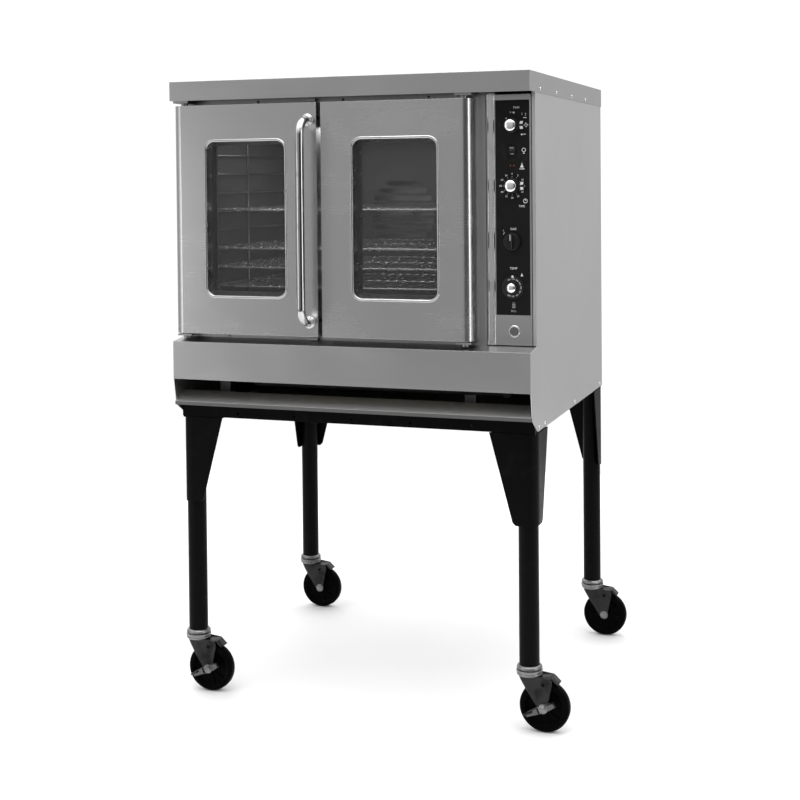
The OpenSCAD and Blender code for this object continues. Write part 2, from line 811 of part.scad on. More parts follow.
module caster_stems() {
    // expanding plug in the tube, upper race and kingpin
    for (i = [0 : 3]) color("silver") at_leg(i) {
        rod_z(0, 0, caster_h, caster_h + 70, tube_d / 2 - 2.6);
        rod_z(0, 0, race_z + swivel_gap, caster_h, race_r - 1.5);
        rod_z(0, 0, race_z - fork_ring_h - 4, race_z + swivel_gap, kingpin_r);
    }
}

// one side plate of a fork, in X and Z about the swivel axis
function fork_outline() = [
    [-race_r + 2, race_z - fork_ring_h], [19, race_z - fork_ring_h], [19, bridge_z + fork_t],
    [caster_trail + 20, bridge_z + fork_t], [caster_trail + 22, bridge_z - 14],
    [caster_trail + 12, wheel_r + 12], [caster_trail + 12, wheel_r - 8],
    [caster_trail + 6, wheel_r - 12], [caster_trail - 8, wheel_r - 12]
];

module fork(has_brake) {
    ring_z = race_z - fork_ring_h;
    stack = has_brake ? lever_t + 1 : 0;
    difference() {
        rod_z(0, 0, ring_z, race_z, race_r);
        rod_z(0, 0, ring_z - 1, race_z + 1, kingpin_bore_r);
    }
    difference() {
        union() {
            for (side = [-1, 1]) {
                y = side * (fork_in + fork_t / 2);
                xz_plate(y - fork_t / 2, y + fork_t / 2) polygon(fork_outline());
            }
            // crown plate under the race, bridge over the wheel, and the flap that leans over the tread
            block([-race_r + 6, -fork_in, ring_z - 3], [20, fork_in, ring_z]);
            block([19, -fork_in, bridge_z], [caster_trail + 20, fork_in, bridge_z + fork_t]);
            xz_plate(-fork_in + 2, fork_in - 2) polygon([
                [caster_trail + 17, bridge_z + fork_t], [caster_trail + 17, bridge_z],
                [caster_trail + 35, bridge_z - 13.5], [caster_trail + 38, bridge_z - 11.5],
                [caster_trail + 22, bridge_z + fork_t]
            ]);
        }
        rod_z(0, 0, ring_z - 5, race_z + 1, kingpin_bore_r);
        rod_y(caster_trail, -fork_in - 5, fork_in + 5, wheel_r + 58, 4.5);
    }
    // axle bolt, its head and its nut
    rod_y(caster_trail, -fork_in - fork_t - stack - nut_h, fork_in + fork_t + nut_h + 2, wheel_r, axle_r);
    for (y = [-fork_in - fork_t - stack, fork_in + fork_t + nut_h])
        translate([caster_trail, y, wheel_r]) rotate([90, 0, 0]) cylinder(h = nut_h, r = 8.5, $fn = 6);
}

module wheel() {
    shoulder = 7;
    hub_r = 40;
    color("black") translate([caster_trail, 0, wheel_r]) rotate([90, 0, 0]) rotate_extrude() difference() {
        union() {
            // tread with round shoulders
            translate([axle_bore_r, -wheel_w / 2 + 4]) square([hub_r, wheel_w - 8]);
            translate([hub_r, -wheel_w / 2]) square([wheel_r - hub_r - shoulder, wheel_w]);
            translate([hub_r, -wheel_w / 2 + shoulder]) square([wheel_r - hub_r, wheel_w - 2 * shoulder]);
            for (y = [-wheel_w / 2 + shoulder, wheel_w / 2 - shoulder])
                translate([wheel_r - shoulder, y]) circle(shoulder);
            // hub boss between the side plates
            translate([axle_bore_r, -fork_in + 0.5]) square([11, 2 * fork_in - 1]);
        }
        translate([-1, -wheel_w]) square([axle_bore_r + 1, 2 * wheel_w]);
    }
}

// a rocking lever on the near end of the axle bolt, with one pad to press it on and one to press it off
module brake() {
    y1 = -fork_in - fork_t - 0.5;
    y0 = y1 - lever_t;
    slant = 24;
    color("silver") translate([caster_trail, 0, wheel_r]) rotate([0, -slant, 0]) difference() {
        union() {
            rod_y(0, y0, y1, 0, 12);
            xz_plate(y0, y1) polygon([
                [-48, -6], [-48, 5], [-14, 9], [14, 9], [34, 8], [34, -5], [14, -9], [-14, -9]
            ]);
            // folded pads
            block([12, y0 - 11, 5], [34, y1, 8]);
            block([-48, y0 - 11, 2], [-26, y1, 5]);
        }
        rod_y(0, y0 - 1, y1 + 1, 0, axle_bore_r);
    }
}

module fork_front_left() color("silver") at_leg(0) fork(true);
module fork_front_right() color("silver") at_leg(1) fork(true);
module fork_rear_left() color("silver") at_leg(2) fork(false);
module fork_rear_right() color("silver") at_leg(3) fork(false);
module wheel_front_left() at_leg(0) wheel();
module wheel_front_right() at_leg(1) wheel();
module wheel_rear_left() at_leg(2) wheel();
module wheel_rear_right() at_leg(3) wheel();
module brake_front_left() at_leg(0) brake();
module brake_front_right() at_leg(1) brake();

top_cap();
left_side_panel();
right_side_panel();
back_panel();
base_pan();
front_frame();
lower_front_panel();
air_intake_lip();
control_plate();
control_overlay();
control_post();
buzzer_grille();
indicator_lamps();
cavity_liner();
insulation_wrap();
rack_guides();
fan_baffle();
blower_motor();
blower_wheel();
burner_tubes();
gas_train();
flue_duct();
oven_lamps();
cord_gland();
door_gasket();
door_hardware();
panel_screws();
stand_frame();
leg_brackets();
leg_tubes();
caster_stems();
left_door_shell();
left_door_liner();
left_door_glass();
left_window_trim();
door_handle();
right_door_shell();
right_door_liner();
right_door_glass();
right_window_trim();
fan_knob();
timer_knob();
gas_knob();
thermostat_knob();
rocker_switch();
rack_1();
rack_2();
rack_3();
rack_4();
fork_front_left();
fork_front_right();
fork_rear_left();
fork_rear_right();
wheel_front_left();
wheel_front_right();
wheel_rear_left();
wheel_rear_right();
brake_front_left();
brake_front_right();
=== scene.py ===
import json
import math

import bmesh
import bpy
from mathutils import Matrix, Vector


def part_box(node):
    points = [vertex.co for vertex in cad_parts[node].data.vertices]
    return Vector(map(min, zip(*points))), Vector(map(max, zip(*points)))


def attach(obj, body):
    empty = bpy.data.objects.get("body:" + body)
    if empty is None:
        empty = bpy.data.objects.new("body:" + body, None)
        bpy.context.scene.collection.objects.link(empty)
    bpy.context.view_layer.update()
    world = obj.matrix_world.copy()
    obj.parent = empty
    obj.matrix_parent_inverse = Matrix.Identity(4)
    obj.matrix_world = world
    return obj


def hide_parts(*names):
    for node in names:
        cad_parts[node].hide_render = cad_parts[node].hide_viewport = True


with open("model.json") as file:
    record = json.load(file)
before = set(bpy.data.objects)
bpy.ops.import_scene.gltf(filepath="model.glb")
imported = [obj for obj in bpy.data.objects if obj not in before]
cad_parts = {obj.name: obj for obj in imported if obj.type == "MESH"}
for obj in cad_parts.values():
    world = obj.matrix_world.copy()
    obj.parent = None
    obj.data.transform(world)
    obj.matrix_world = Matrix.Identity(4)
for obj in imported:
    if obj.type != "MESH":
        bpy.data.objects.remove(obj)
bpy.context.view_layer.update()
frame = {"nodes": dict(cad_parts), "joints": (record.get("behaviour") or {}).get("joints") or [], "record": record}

MM = 0.001
TINY = 1e-6
SMOOTH_ANGLE = math.radians(38)
joints = {joint["name"]: joint for joint in frame["joints"]}


# ---------------------------------------------------------------- places

def middle(node):
    """Centre of a CAD node's box."""
    low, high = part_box(node)
    return (low + high) / 2


cap_low, cap_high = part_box("top_cap")
BODY_X = (cap_low.x + cap_high.x) / 2      # middle of the oven's width
FRONT_Y = cap_low.y                        # front face of the cap


# ---------------------------------------------------------------- camera

def aim_camera():
    """Camera in front of the oven's right corner, a little above its middle."""
    sideways, forward, height = 1.3025, -3.2522, 1.3696
    yaw, pitch, roll = math.radians(19.29), math.radians(-1.38), math.radians(-0.52)
    ahead = Vector((-math.sin(yaw) * math.cos(pitch), math.cos(yaw) * math.cos(pitch), math.sin(pitch)))
    level_right = Vector((math.cos(yaw), math.sin(yaw), 0))
    level_up = level_right.cross(ahead)
    right = level_right * math.cos(roll) + level_up * math.sin(roll)
    up = level_up * math.cos(roll) - level_right * math.sin(roll)
    lens = bpy.data.cameras.new("camera")
    lens.sensor_width = 36
    lens.lens = 62.58
    lens.shift_x, lens.shift_y = -0.005, -0.236
    lens.clip_end = 60
    camera = bpy.data.objects.new("camera", lens)
    turn = Matrix((right, up, -ahead)).transposed()
    camera.matrix_world = Matrix.Translation((BODY_X + sideways, FRONT_Y + forward, height)) @ turn.to_4x4()
    bpy.context.collection.objects.link(camera)
    bpy.context.scene.camera = camera


aim_camera()


# ---------------------------------------------------------------- shaders

ALONG_X = (4, 900, 900)                    # brush lines that run left to right
ALONG_Z = (900, 900, 4)                    # brush lines that run up and down


class Value:
    """A shader socket: arithmetic on it adds Math nodes."""

    def __init__(self, shader, socket):
        self.shader, self.socket = shader, socket

    def _math(self, operation, *inputs):
        return self.shader.node("ShaderNodeMath", {"operation": operation}, dict(enumerate(inputs)))

    def __add__(self, other):
        return self._math("ADD", self, other)

    __radd__ = __add__

    def __sub__(self, other):
        return self._math("SUBTRACT", self, other)

    def __rsub__(self, other):
        return self._math("SUBTRACT", other, self)

    def __mul__(self, other):
        return self._math("MULTIPLY", self, other)

    __rmul__ = __mul__

    def span(self, low, high):
        """0 at low, 1 at high, smooth between."""
        return self.shader.node("ShaderNodeMapRange", {"interpolation_type": "SMOOTHSTEP"},
                                {"Value": self, "From Min": low, "From Max": high})


class Shader:
    """One material's or the world's nodes."""

    def __init__(self, name, world=False):
        self.owner = (bpy.data.worlds if world else bpy.data.materials).new(name)
        self.owner.use_nodes = True
        self.tree = self.owner.node_tree
        self.tree.nodes.clear()

    def node(self, kind, settings=None, sockets=None, out=0):
        made = self.tree.nodes.new(kind)
        for key, value in (settings or {}).items():
            setattr(made, key, value)
        for key, value in (sockets or {}).items():
            if isinstance(value, Value):
                self.tree.links.new(value.socket, made.inputs[key])
            else:
                made.inputs[key].default_value = value
        return Value(self, made.outputs[out]) if len(made.outputs) else made

    def place(self, scale=(1, 1, 1)):
        """Position on the oven in metres, stretched by scale."""
        spot = self.node("ShaderNodeTexCoord", out="Object")
        return self.node("ShaderNodeVectorMath", {"operation": "MULTIPLY"}, {0: spot, 1: scale})

    def noise(self, scale, stretch=(1, 1, 1), detail=2.0):
        return self.node("ShaderNodeTexNoise", None,
                         {"Vector": self.place(stretch), "Scale": scale, "Detail": detail})

    def mix(self, factor, low, high):
        """Colour between low and high."""
        sockets = {0: factor, 6: low if isinstance(low, Value) else (*grey(low), 1),
                   7: high if isinstance(high, Value) else (*grey(high), 1)}
        return self.node("ShaderNodeMix", {"data_type": "RGBA"}, sockets, out=2)

    def bump(self, height, depth, strength=1.0, edge=0.0):
        """Surface relief; edge rounds the corners of thin sheet by that many metres."""
        sockets = {"Height": height, "Strength": strength, "Distance": depth}
        if edge:
            sockets["Normal"] = self.node("ShaderNodeBevel", {"samples": 4}, {"Radius": edge})
        return self.node("ShaderNodeBump", None, sockets)

    def finish(self, **sockets):
        names = {key.replace("_", " "): value for key, value in sockets.items()}
        if "Base Color" in names and not isinstance(names["Base Color"], Value):
            names["Base Color"] = (*grey(names["Base Color"]), 1)
        surface = self.node("ShaderNodeBsdfPrincipled", None, names)
        self.node("ShaderNodeOutputMaterial", None, {"Surface": surface})
        return self.owner


def grey(shade):
    """A neutral colour from one number, or the colour itself."""
    return (shade,) * 3 if isinstance(shade, (int, float)) else tuple(shade)


def brushed(name, stretch, shade=0.56, rough=0.30, depth=0.0000015, edge=0.0012):
    """Sheet steel with fine lines: stretch is small along the lines and large across them."""
    s = Shader(name)
    lines = s.noise(1.0, stretch, detail=3.0)
    fine = s.noise(2.6, stretch, detail=1.0)
    cloud = s.noise(2.2, detail=3.0)
    smears = s.noise(9.0, (0.6, 1, 1), detail=4.0)
    tone = (lines * 0.35 + fine * 0.25 + cloud * 0.4).span(0.3, 0.7)
    return s.finish(
        Base_Color=s.mix(tone, shade * 0.965, shade * 1.035), Metallic=1.0,
        Roughness=rough + (lines - 0.5) * 0.05 + smears.span(0.45, 0.75) * 0.04,
        Normal=s.bump(lines * 0.6 + fine * 0.4, depth, edge=edge))


def lip_painted_shade_and_light(name):
    """Brushed steel coloured by height: its low front face is painted dark as painted shade, and the slope above
    is painted bright as painted light.
    """
    s = Shader(name)
    lines = s.noise(1.0, ALONG_X, detail=3.0)
    height = s.node("ShaderNodeSeparateXYZ", None, {"Vector": s.place()}, out="Z")
    face_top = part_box("air_intake_lip")[0].z + 10 * MM
    fade = 2 * MM
    # painted shade on the front face below face_top, painted light on the slope above it
    painted_light_slope = height.span(face_top - fade, face_top + fade)
    return s.finish(Base_Color=s.mix(painted_light_slope, 0.15, 0.72), Metallic=1.0, Roughness=0.44 + (lines - 0.5) * 0.06,
                    Normal=s.bump(lines, 0.0000015, edge=0.0012))


def polished(name, shade=0.72, rough=0.12, wear=0.10, edge=0.0006):
    """Bright metal with faint handling marks."""
    s = Shader(name)
    marks = s.noise(38.0, detail=5.0).span(0.52, 0.74)
    return s.finish(Base_Color=s.mix(marks, shade, shade * 0.86), Metallic=1.0,
                    Roughness=rough + marks * wear,
                    Normal=s.bump(s.noise(160.0), 0.00002, edge=edge))


def zinc(name, shade=0.22):
    """Zinc plating: soft, cloudy, a little dull."""
    s = Shader(name)
    cloud = s.noise(55.0, detail=5.0)
    grime = s.noise(21.0, detail=4.0).span(0.5, 0.75)
    return s.finish(Base_Color=s.mix(grime, s.mix(cloud, shade * 0.8, shade * 1.25), shade * 0.4), Metallic=1.0,
                    Roughness=0.26 + cloud * 0.16 + grime * 0.2,
                    Normal=s.bump(s.noise(420.0), 0.00004, edge=0.0008))


def galvanised(name, shade=0.42):
    """Spangled galvanised sheet."""
    s = Shader(name)
    spangle = s.node("ShaderNodeTexVoronoi", None, {"Vector": s.place(), "Scale": 130.0}, out="Distance")
    cloud = s.noise(14.0, detail=3.0)
    return s.finish(Base_Color=s.mix(spangle * 0.6 + cloud * 0.4, shade * 0.8, shade * 1.15), Metallic=1.0,
                    Roughness=0.38 + spangle * 0.16, Normal=s.bump(spangle, 0.00003, edge=0.0008))


def enamel(name, shade=0.002, rough=0.36, edge=0.0016, shine=0.05):
    """Stoved black enamel with a slight orange peel."""
    s = Shader(name)
    peel = s.noise(420.0, detail=2.0)
    dust = s.noise(30.0, detail=6.0).span(0.5, 0.8)
    return s.finish(Base_Color=s.mix(dust, shade, shade * 1.9), Roughness=rough + dust * 0.12,
                    Normal=s.bump(peel, 0.00006, edge=edge), Specular_IOR_Level=shine)


def moulded(name, shade=0.02, rough=0.42, edge=0.0005, shine=0.3):
    """Moulded plastic or rubber with a fine grain."""
    s = Shader(name)
    grain = s.noise(900.0, detail=2.0)
    scuff = s.noise(46.0, detail=5.0).span(0.55, 0.8)
    return s.finish(Base_Color=s.mix(scuff, shade, shade * 1.8), Roughness=rough + scuff * 0.15,
                    Normal=s.bump(grain, 0.00005, edge=edge), Specular_IOR_Level=shine)


def porcelain(name):
    """Speckled grey porcelain inside the cavity."""
    s = Shader(name)
    speck = s.noise(700.0, detail=2.0).span(0.60, 0.68)
    cloud = s.noise(5.0, detail=3.0)
    return s.finish(Base_Color=s.mix(speck, s.mix(cloud, 0.05, 0.09), 0.24), Roughness=0.34 + cloud * 0.2,
                    Normal=s.bump(s.noise(300.0), 0.00005))


def window_pane(name):
    """Dark heat-proof glass with a faint film of dust."""
    s = Shader(name)
    film = s.noise(16.0, detail=5.0)
    return s.finish(Base_Color=0.045, Roughness=0.03 + film * 0.05, Alpha=0.18 + film * 0.10,
                    Specular_IOR_Level=0.6)


def tinted(name, colour, alpha=0.7, glow=0.15):
    """Coloured lens or jar that glows a little."""
    s = Shader(name)
    return s.finish(Base_Color=s.mix(s.noise(300.0), colour, tuple(c * 0.8 for c in grey(colour))),
                    Roughness=0.1, Alpha=alpha, Emission_Color=(*grey(colour), 1), Emission_Strength=glow)


def ink(name, shade=0.75):
    """Screen-printed pale ink."""
    s = Shader(name)
    return s.finish(Base_Color=s.mix(s.noise(1200.0), shade * 0.85, shade), Roughness=0.55)


def wool(name):
    """Matted mineral fibre."""
    s = Shader(name)
    fibres = s.noise(260.0, (1, 1, 3), detail=6.0)
    return s.finish(Base_Color=s.mix(fibres, (0.30, 0.26, 0.15), (0.62, 0.56, 0.38)), Roughness=0.95,
                    Normal=s.bump(fibres, 0.002))


# One brushed stainless in three shades: the front sheets are painted darker and the side panels lighter, as
# painted shade and painted light for how the light falls on each face; the doors sit between them.
front_steel = brushed("brushed_front_steel", ALONG_X, shade=0.45)
side_steel = brushed("brushed_side_steel", ALONG_Z, shade=0.60, rough=0.34)
door_steel = brushed("brushed_door_steel", ALONG_X, shade=0.54, rough=0.25)
lip_steel = lip_painted_shade_and_light("lip_steel_painted_shade_and_light")
frame_steel = brushed("dull_frame_steel", ALONG_Z, shade=0.34, rough=0.36)
bright_steel = polished("polished_steel", shade=0.70, rough=0.16)
chrome = polished("handle_chrome", shade=0.52, rough=0.10, wear=0.06)
bead_steel = polished("window_bead_steel", shade=0.50, rough=0.20)
dial_disc = polished("bright_dial_disc", shade=0.95, rough=0.2)
wire_chrome = polished("rack_wire_chrome", shade=0.92, rough=0.22)
zinc_plate = zinc("zinc_plate")
# Zinc painted dark for the fork legs, bridge and flap: painted shade.
shaded_zinc_plate = zinc("zinc_plate_painted_shade", 0.03)
# Zinc painted darker for the brake levers: painted shade.
lever_zinc_painted_shade = zinc("zinc_plate_darker_painted_shade", 0.11)
galvanised_sheet = galvanised("galvanised_sheet")
black_enamel = enamel("black_enamel")
overlay_film = moulded("black_overlay_film", shade=0.007, rough=0.38, shine=0.14)
black_plastic = moulded("black_plastic", shade=0.006, rough=0.30)
dial_plastic = moulded("dial_plastic", shade=0.008, rough=0.40)
wheel_rubber = moulded("wheel_rubber", shade=0.0012, rough=0.34, edge=0.001, shine=0.02)
gasket_rubber = moulded("gasket_rubber", shade=0.010, rough=0.7)
cavity_porcelain = porcelain("cavity_porcelain")
pane = window_pane("window_pane")
lamp_lens = tinted("amber_lens", (0.30, 0.10, 0.03), 0.9, 0.02)
lamp_jar = tinted("lamp_jar", (0.85, 0.85, 0.8), 0.6, 3.0)
cast_metal = galvanised("cast_aluminium", shade=0.34)
iron_pipe = enamel("black_iron_pipe", shade=0.03, rough=0.45)
white_ink = ink("white_ink")
grey_ink = ink("grey_ink", 0.34)
fibre_wool = wool("mineral_wool")

finish_of = {
    "brushed_stainless": front_steel, "frame_steel": frame_steel, "polished_steel": bright_steel,
    "galvanised": galvanised_sheet, "zinc_plate": zinc_plate, "black_enamel": black_enamel,
    "black_film": overlay_film, "dial_plastic": dial_plastic, "black_plastic": black_plastic,
    "lamp_lens": lamp_lens, "cavity_enamel": cavity_porcelain, "mineral_wool": fibre_wool,
    "cast_aluminium": cast_metal, "gas_pipe": iron_pipe, "lamp_glass": lamp_jar,
    "seal_rubber": gasket_rubber, "window_glass": pane, "wheel_tread": wheel_rubber,
}
own_finish = {
    "air_intake_lip": lip_steel, "left_side_panel": side_steel, "right_side_panel": side_steel,
    "left_door_shell": door_steel, "right_door_shell": door_steel,
}
for part in frame["record"]["subparts"]:
    name = part["node"]
    cad_part = frame["nodes"][name]
    finish = own_finish.get(name) or finish_of[part["material_slot"]]
    cad_part.data.materials.clear()
    cad_part.data.materials.append(finish)


# ---------------------------------------------------------------- mesh building

def arc(centre, radius, start, end, steps):
    """Points of an arc in a plane, angles in degrees."""
    return [(centre[0] + radius * math.cos(math.radians(start + (end - start) * i / steps)),
             centre[1] + radius * math.sin(math.radians(start + (end - start) * i / steps)))
            for i in range(steps + 1)]


def unit_circle(steps):
    """Cosines and sines of evenly spaced angles."""
    return [(math.cos(2 * math.pi * i / steps), math.sin(2 * math.pi * i / steps)) for i in range(steps)]


def rounded_outline(x0, z0, x1, z1, radius, steps=8):
    """Corner-rounded rectangle, anticlockwise."""
    corners = [(x1 - radius, z0 + radius, -90), (x1 - radius, z1 - radius, 0),
               (x0 + radius, z1 - radius, 90), (x0 + radius, z0 + radius, 180)]
    return [p for x, z, turn in corners for p in arc((x, z), radius, turn, turn + 90, steps)]


class Part:
    """A mesh built in millimetres around an anchor that is given in metres."""

    def __init__(self, anchor=(0, 0, 0), turn=None):
        self.bm = bmesh.new()
        self.place = Matrix.Translation(anchor) @ (turn or Matrix.Identity(4)) @ Matrix.Scale(MM, 4)
        self.paint = 0

    def _faces(self, rings, closed_across, caps):
        """Skins a list of rings of vertices."""
        faces = []
        for a, b in zip(rings, rings[1:]):
            count = len(a) if closed_across else len(a) - 1
            for i in range(count):
                corners = [a[i], a[(i + 1) % len(a)], b[(i + 1) % len(b)], b[i]]
                unique = list(dict.fromkeys(corners))
                if len(unique) > 2:
                    faces.append(self.bm.faces.new(unique))
        if caps:
            for ring in (rings[0], rings[-1]):
                if len(set(ring)) > 2:
                    faces.append(self.bm.faces.new(ring))
        for face in faces:
            face.material_index = self.paint

    def loft(self, sections, closed=False, closed_across=True):
        """Skins sections of points; closed joins the last section to the first."""
        rings = [[self.bm.verts.new(p) for p in section] for section in sections]
        self._faces(rings + rings[:1] if closed else rings, closed_across, closed_across and not closed)
        return self

    def block(self, low, high, soften=0.6):
        """A block with softened edges."""
        low, high = Vector(low), Vector(high)
        made = bmesh.ops.create_cube(self.bm, size=1)["verts"]
        for v in made:
            v.co = (low + high) / 2 + Vector(a * b for a, b in zip(v.co, high - low))
        edges = {e for v in made for e in v.link_edges}
        before = set(self.bm.faces)
        faces = {f for v in made for f in v.link_faces}
        if soften:
            result = bmesh.ops.bevel(self.bm, geom=list(edges), offset=soften, segments=2,
                                     affect="EDGES", profile=0.5)
            faces = {f for f in self.bm.faces if f not in before} | {f for f in faces if f.is_valid}
            faces |= set(result["faces"])
        for face in faces:
            face.material_index = self.paint
        return self

    def plate(self, outline, y0, y1, soften=0.4):
        """A flat outline in X and Z, extruded from y0 to y1, its rims softened."""
        area = sum(a[0] * b[1] - b[0] * a[1] for a, b in zip(outline, outline[1:] + outline[:1]))
        if area < 0:
            outline = outline[::-1]
        count = len(outline)
        centre = Vector((sum(p[0] for p in outline) / count, sum(p[1] for p in outline) / count))

        def ring(y, inset):
            points = []
            for i, p in enumerate(outline):
                before, after = Vector(outline[i - 1]), Vector(outline[(i + 1) % count])
                edge_in, edge_out = (Vector(p) - before).normalized(), (after - Vector(p)).normalized()
                normal = Vector((-(edge_in.y + edge_out.y), edge_in.x + edge_out.x))
                normal = normal.normalized() if normal.length > TINY else (centre - Vector(p)).normalized()
                q = Vector(p) + normal * inset
                points.append((q.x, y, q.y))
            return points

        return self.loft([ring(y0, soften), ring(y0 + soften, 0), ring(y1 - soften, 0), ring(y1, soften)])

    def lathe(self, profile, centre, axis="y", steps=48):
        """Turns a profile of (radius, height) points about an axis through centre."""
        centre = Vector(centre)
        turn = {"x": Matrix.Rotation(math.pi / 2, 4, "Y"), "y": Matrix.Rotation(-math.pi / 2, 4, "X"),
                "z": Matrix.Identity(4)}[axis]
        circle = unit_circle(steps)
        rings = []
        for radius, height in profile:
            if radius < TINY:
                rings.append([self.bm.verts.new(centre + turn @ Vector((0, 0, height)))] * steps)
            else:
                rings.append([self.bm.verts.new(centre + turn @ Vector((radius * c, radius * s, height)))
                              for c, s in circle])
        self._faces(rings, True, False)
        return self

    def tube(self, points, radius, steps=12, closed=False, caps=True):
        """Sweeps a circle along points."""
        points = [Vector(p) for p in points]
        count, circle = len(points), unit_circle(steps)
        rings, side = [], None
        for i, p in enumerate(points):
            ahead = points[(i + 1) % count] if closed or i < count - 1 else p
            behind = points[i - 1] if closed or i > 0 else p
            along = (ahead - behind).normalized()
            if side is None:
                side = along.orthogonal().normalized()
            side = (side - along * side.dot(along)).normalized()
            other = along.cross(side)
            rings.append([self.bm.verts.new(p + (side * c + other * s) * radius) for c, s in circle])
        self._faces(rings + rings[:1] if closed else rings, True, caps and not closed)
        return self

    def letters(self, words, x, z, size, y=0.0, spin=0.0):
        """Printed characters that face the front."""
        curve = bpy.data.curves.new("letters", "FONT")
        curve.body, curve.size, curve.extrude = words, size, 0.04
        curve.align_x, curve.align_y = "CENTER", "CENTER"
        curve.resolution_u = 2
        text = bpy.data.objects.new("letters", curve)
        bpy.context.collection.objects.link(text)
        flat = text.to_mesh()
        upright = Matrix.Rotation(math.pi / 2, 4, "X") @ Matrix.Rotation(spin, 4, "Z")
        flat.transform(Matrix.Translation((x, y, z)) @ upright)
        count = len(self.bm.faces)
        self.bm.from_mesh(flat)
        self.bm.faces.ensure_lookup_table()
        for face in self.bm.faces[count:]:
            face.material_index = self.paint
        text.to_mesh_clear()
        bpy.data.objects.remove(text)
        return self

    def done(self, name, body, slot, materials, *stands_for):
        """Makes the piece, paints it and lets it ride on its body."""
        bmesh.ops.recalc_face_normals(self.bm, faces=self.bm.faces)
        mesh = bpy.data.meshes.new(name)
        self.bm.transform(self.place)
        self.bm.to_mesh(mesh)
        self.bm.free()
        mesh.shade_smooth()
        mesh.set_sharp_from_angle(angle=SMOOTH_ANGLE)
        for material in materials if isinstance(materials, (list, tuple)) else [materials]:
            mesh.materials.append(material)
        made = bpy.data.objects.new(name, mesh)
        bpy.context.collection.objects.link(made)
        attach(made, body)
        if stands_for:
            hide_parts(*stands_for)
        return made


# ---------------------------------------------------------------- windows

def window_bead(side):
    """Bright rolled bead round a window, with its tunnel and the ledge the inner pane sits on."""
    node = side + "_window_trim"
    low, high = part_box(node)
    bead, radius, depth = 6.0, 24.0, 50.0
    half_w, half_h = ((high - low) / MM / 2).x - bead, ((high - low) / MM / 2).z - bead
    face = (low.x + high.x) / 2, low.y + 3 * MM, (low.z + high.z) / 2
    profile = [(6, 0), (5.8, -1.3), (5.0, -2.3), (3.8, -2.9), (2.4, -3), (1.0, -2.7), (-0.2, -2.0),
               (-1.1, -0.9), (-1.5, 0.4), (-1.5, 43), (-9, 43), (-9, depth), (0, depth), (0, 0.1)]
    path = rounded_outline(-half_w, -half_h, half_w, half_h, radius, 10)
    sections = []
    for i, (x, z) in enumerate(path):
        corner_x = max(-half_w + radius, min(half_w - radius, x))
        corner_z = max(-half_h + radius, min(half_h - radius, z))
        outward = Vector((x - corner_x, z - corner_z)).normalized()
        sections.append([(x + outward.x * u, v, z + outward.y * u) for u, v in profile])
    part = Part(face)
    part.loft(sections, closed=True)
    part.done(side + "_window_bead", side + "_door", "polished_steel", bead_steel, node)


for side in ("left", "right"):
    window_bead(side)


# ---------------------------------------------------------------- door handle

def handle():
    """Tall tubular handle with swept ends and a rosette at each foot."""
    low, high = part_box("door_handle")
    x = (low.x + high.x) / 2
    door_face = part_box("left_door_shell")[0].y
    part = Part((x, door_face, (low.z + high.z) / 2))
    radius, bend = 11.0, 42.0
    foot = (high - low).z / MM / 2 - 16
    reach = (low.y - door_face) / MM + radius
    path = [(0, 0, -foot)]
    path += [(0, y, z) for y, z in arc((reach + bend, -foot + bend), bend, 270, 180, 14)]
    path += [(0, reach, z) for z in (-foot / 2, 0, foot / 2)]
    path += [(0, y, z) for y, z in arc((reach + bend, foot - bend), bend, 180, 90, 14)]
    path += [(0, 0, foot)]
    part.tube(path, radius, steps=28)
    for z in (-foot, foot):
        part.lathe([(0, -3.4), (12.2, -3.4), (14.6, -2.9), (15.8, -1.6), (16, 0), (0, 0)], (0, 0, z), "y", 40)
        part.lathe([(radius, -5.6), (radius + 1.4, -4.8), (radius + 1.8, -3.2)], (0, 0, z), "y", 40)
    part.done("handle_tube", "left_door", "polished_steel", chrome, "door_handle")


handle()


# ---------------------------------------------------------------- racks

def wire_rack(number):
    """Chromed rack: a frame of heavier rods under wires whose ends hook over the front rod."""
    node = f"rack_{number}"
    low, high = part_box(node)
    centre = (low + high) / 2
    part = Part((centre.x, centre.y, low.z + 3 * MM))
    half_x, half_y = ((high - low) / MM / 2).x - 3, ((high - low) / MM / 2).y - 4
    for y in (-half_y, 0, half_y):
        part.tube([(-half_x, y, 0), (0, y, 0), (half_x, y, 0)], 2.6, 10)
    for x in (-half_x, half_x):
        part.tube([(x, -half_y - 4, 0), (x, 0, 0), (x, half_y + 4, 0)], 3.0, 10)
    wires, wire_r, rest = 27, 1.6, 3.2
    for i in range(1, wires + 1):
        x = -half_x + 2 * half_x * i / (wires + 1)
        hook = [(x, y, z) for y, z in arc((-half_y, 0), 2.6 + wire_r - 0.4, 100, 255, 6)]
        part.tube([(x, half_y + 2, rest), (x, 0, rest), (x, -half_y + 6, rest + 0.2)] + hook, wire_r, 8)
    part.done(f"wire_rack_{number}", node, "polished_steel", wire_chrome, node)


for number in range(1, 5):
    wire_rack(number)


# ---------------------------------------------------------------- dials

panel_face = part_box("control_overlay")[0].y + 1.6 * MM     # front of the overlay, behind the rocker's bezel


def fluted_ring(radius, depth, flutes, steps):
    """Radii round a grip with shallow flutes."""
    return [(radius - depth * (0.5 + 0.5 * math.cos(flutes * 2 * math.pi * i / steps))) for i in range(steps)]


def grip(part, front, back, radius, flutes=18, depth=0.8):
    """A fluted grip with a softened front edge."""
    steps = flutes * 6
    radii = fluted_ring(radius, depth, flutes, steps)
    sections = []
    for y, shrink in ((back, 0), (front + 1.2, 0.4), (front + 0.3, 1.0), (front, 2.0)):
        sections.append([((radii[i] - shrink) * math.cos(2 * math.pi * i / steps), y,
                          (radii[i] - shrink) * math.sin(2 * math.pi * i / steps)) for i in range(steps)])
    part.loft(sections)


